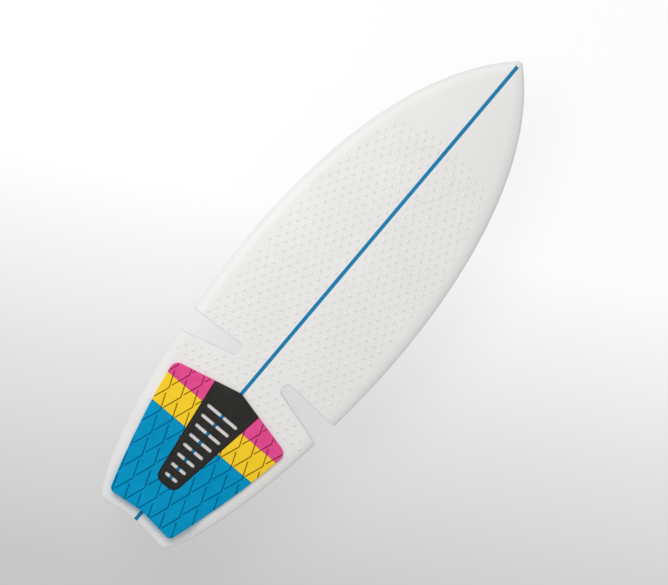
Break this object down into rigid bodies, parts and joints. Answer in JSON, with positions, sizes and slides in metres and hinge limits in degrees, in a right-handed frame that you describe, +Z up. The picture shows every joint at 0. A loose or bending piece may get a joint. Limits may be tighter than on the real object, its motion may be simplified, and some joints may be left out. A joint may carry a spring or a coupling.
{
  "type": "caster board",
  "caption": "Surf-shaped caster board: white deck that twists at its neck, coloured traction pad, and two inclined swivel casters with wheels in line.",
  "frame": {"origin": "on the floor, under the middle of the board's length and width, with the board standing on its two wheels", "axes": "+X along the board to its nose, +Y to its left side, +Z up"},
  "size_m": [0.8569, 0.2766, 0.1292],
  "materials": {
    "deck_polymer": "white moulded polymer, satin, with small grip bumps",
    "stringer_vinyl": "blue stripe, satin",
    "pad_blue": "blue closed-cell foam, matte",
    "pad_yellow": "yellow closed-cell foam, matte",
    "pad_pink": "pink closed-cell foam, matte",
    "pad_black": "black rubber, matte",
    "wedge_nylon": "black glass-filled nylon",
    "fork_steel": "zinc-plated pressed steel",
    "bolt_steel": "zinc-plated steel",
    "bearing_steel": "ground bearing steel",
    "wheel_core": "white moulded nylon",
    "wheel_urethane": "blue cast urethane, smooth"
  },
  "bodies": {
    "front_deck": {"deck_front": "deck_polymer", "stringer_front": "stringer_vinyl", "front_wedge": "wedge_nylon", "front_wedge_screw_1": "bolt_steel", "front_wedge_screw_2": "bolt_steel", "front_wedge_screw_3": "bolt_steel", "front_wedge_screw_4": "bolt_steel", "front_upper_race": "bearing_steel", "front_kingpin": "bolt_steel", "front_kingpin_washer": "bolt_steel", "front_kingpin_nut": "bolt_steel"},
    "rear_deck": {"deck_rear": "deck_polymer", "stringer_rear": "stringer_vinyl", "rear_wedge": "wedge_nylon", "rear_wedge_screw_1": "bolt_steel", "rear_wedge_screw_2": "bolt_steel", "rear_wedge_screw_3": "bolt_steel", "rear_wedge_screw_4": "bolt_steel", "rear_upper_race": "bearing_steel", "rear_kingpin": "bolt_steel", "rear_kingpin_washer": "bolt_steel", "rear_kingpin_nut": "bolt_steel", "pad_centre": "pad_black", "pad_blue": "pad_blue", "pad_yellow_left": "pad_yellow", "pad_yellow_right": "pad_yellow", "pad_pink_left": "pad_pink", "pad_pink_right": "pad_pink"},
    "front_swivel_cage": {"front_ball_ring": "bearing_steel"},
    "rear_swivel_cage": {"rear_ball_ring": "bearing_steel"},
    "front_swivel_fork": {"front_fork": "fork_steel", "front_lower_race": "bearing_steel", "front_axle": "bolt_steel", "front_axle_nut": "bolt_steel", "front_left_axle_washer": "bolt_steel", "front_right_axle_washer": "bolt_steel", "front_bearing_spacer": "bolt_steel", "front_left_bearing_inner_ring": "bearing_steel", "front_right_bearing_inner_ring": "bearing_steel"},
    "rear_swivel_fork": {"rear_fork": "fork_steel", "rear_lower_race": "bearing_steel", "rear_axle": "bolt_steel", "rear_axle_nut": "bolt_steel", "rear_left_axle_washer": "bolt_steel", "rear_right_axle_washer": "bolt_steel", "rear_bearing_spacer": "bolt_steel", "rear_left_bearing_inner_ring": "bearing_steel", "rear_right_bearing_inner_ring": "bearing_steel"},
    "front_wheel": {"front_wheel_core": "wheel_core", "front_wheel_tyre": "wheel_urethane", "front_left_bearing_outer_ring": "bearing_steel", "front_right_bearing_outer_ring": "bearing_steel"},
    "rear_wheel": {"rear_wheel_core": "wheel_core", "rear_wheel_tyre": "wheel_urethane", "rear_left_bearing_outer_ring": "bearing_steel", "rear_right_bearing_outer_ring": "bearing_steel"},
    "front_wheel_cages": {"front_left_bearing_ball_ring": "bearing_steel", "front_right_bearing_ball_ring": "bearing_steel"},
    "rear_wheel_cages": {"rear_left_bearing_ball_ring": "bearing_steel", "rear_right_bearing_ball_ring": "bearing_steel"}
  },
  "joints": [
    {"name": "deck_twist", "type": "hinge", "parent": "front_deck", "child": "rear_deck", "pos_m": [-0.142, 0, 0.09721], "axis": [1, 0, 0], "range_deg": [-15, 15], "stiffness_Nm_per_rad": 90},
    {"name": "front_swivel", "type": "hinge", "parent": "front_deck", "child": "front_swivel_fork", "pos_m": [0.2135, 0, 0.07222], "axis": [0.5, 0, 0.866], "continuous": true},
    {"name": "front_swivel_balls", "type": "hinge", "parent": "front_deck", "child": "front_swivel_cage", "pos_m": [0.2135, 0, 0.07222], "axis": [0.5, 0, 0.866], "continuous": true},
    {"name": "front_wheel_spin", "type": "hinge", "parent": "front_swivel_fork", "child": "front_wheel", "pos_m": [0.16257, 0, 0.038], "axis": [0, 1, 0], "continuous": true},
    {"name": "front_wheel_balls", "type": "hinge", "parent": "front_swivel_fork", "child": "front_wheel_cages", "pos_m": [0.16257, 0, 0.038], "axis": [0, 1, 0], "continuous": true},
    {"name": "rear_swivel", "type": "hinge", "parent": "rear_deck", "child": "rear_swivel_fork", "pos_m": [-0.2985, 0, 0.07222], "axis": [0.5, 0, 0.866], "continuous": true},
    {"name": "rear_swivel_balls", "type": "hinge", "parent": "rear_deck", "child": "rear_swivel_cage", "pos_m": [-0.2985, 0, 0.07222], "axis": [0.5, 0, 0.866], "continuous": true},
    {"name": "rear_wheel_spin", "type": "hinge", "parent": "rear_swivel_fork", "child": "rear_wheel", "pos_m": [-0.34943, 0, 0.038], "axis": [0, 1, 0], "continuous": true},
    {"name": "rear_wheel_balls", "type": "hinge", "parent": "rear_swivel_fork", "child": "rear_wheel_cages", "pos_m": [-0.34943, 0, 0.038], "axis": [0, 1, 0], "continuous": true}
  ],
  "couplings": [
    {"joint": "front_swivel_balls", "follows": "front_swivel", "ratio": 0.5},
    {"joint": "rear_swivel_balls", "follows": "rear_swivel", "ratio": 0.5},
    {"joint": "front_wheel_balls", "follows": "front_wheel_spin", "ratio": 0.61},
    {"joint": "rear_wheel_balls", "follows": "rear_wheel_spin", "ratio": 0.61}
  ]
}
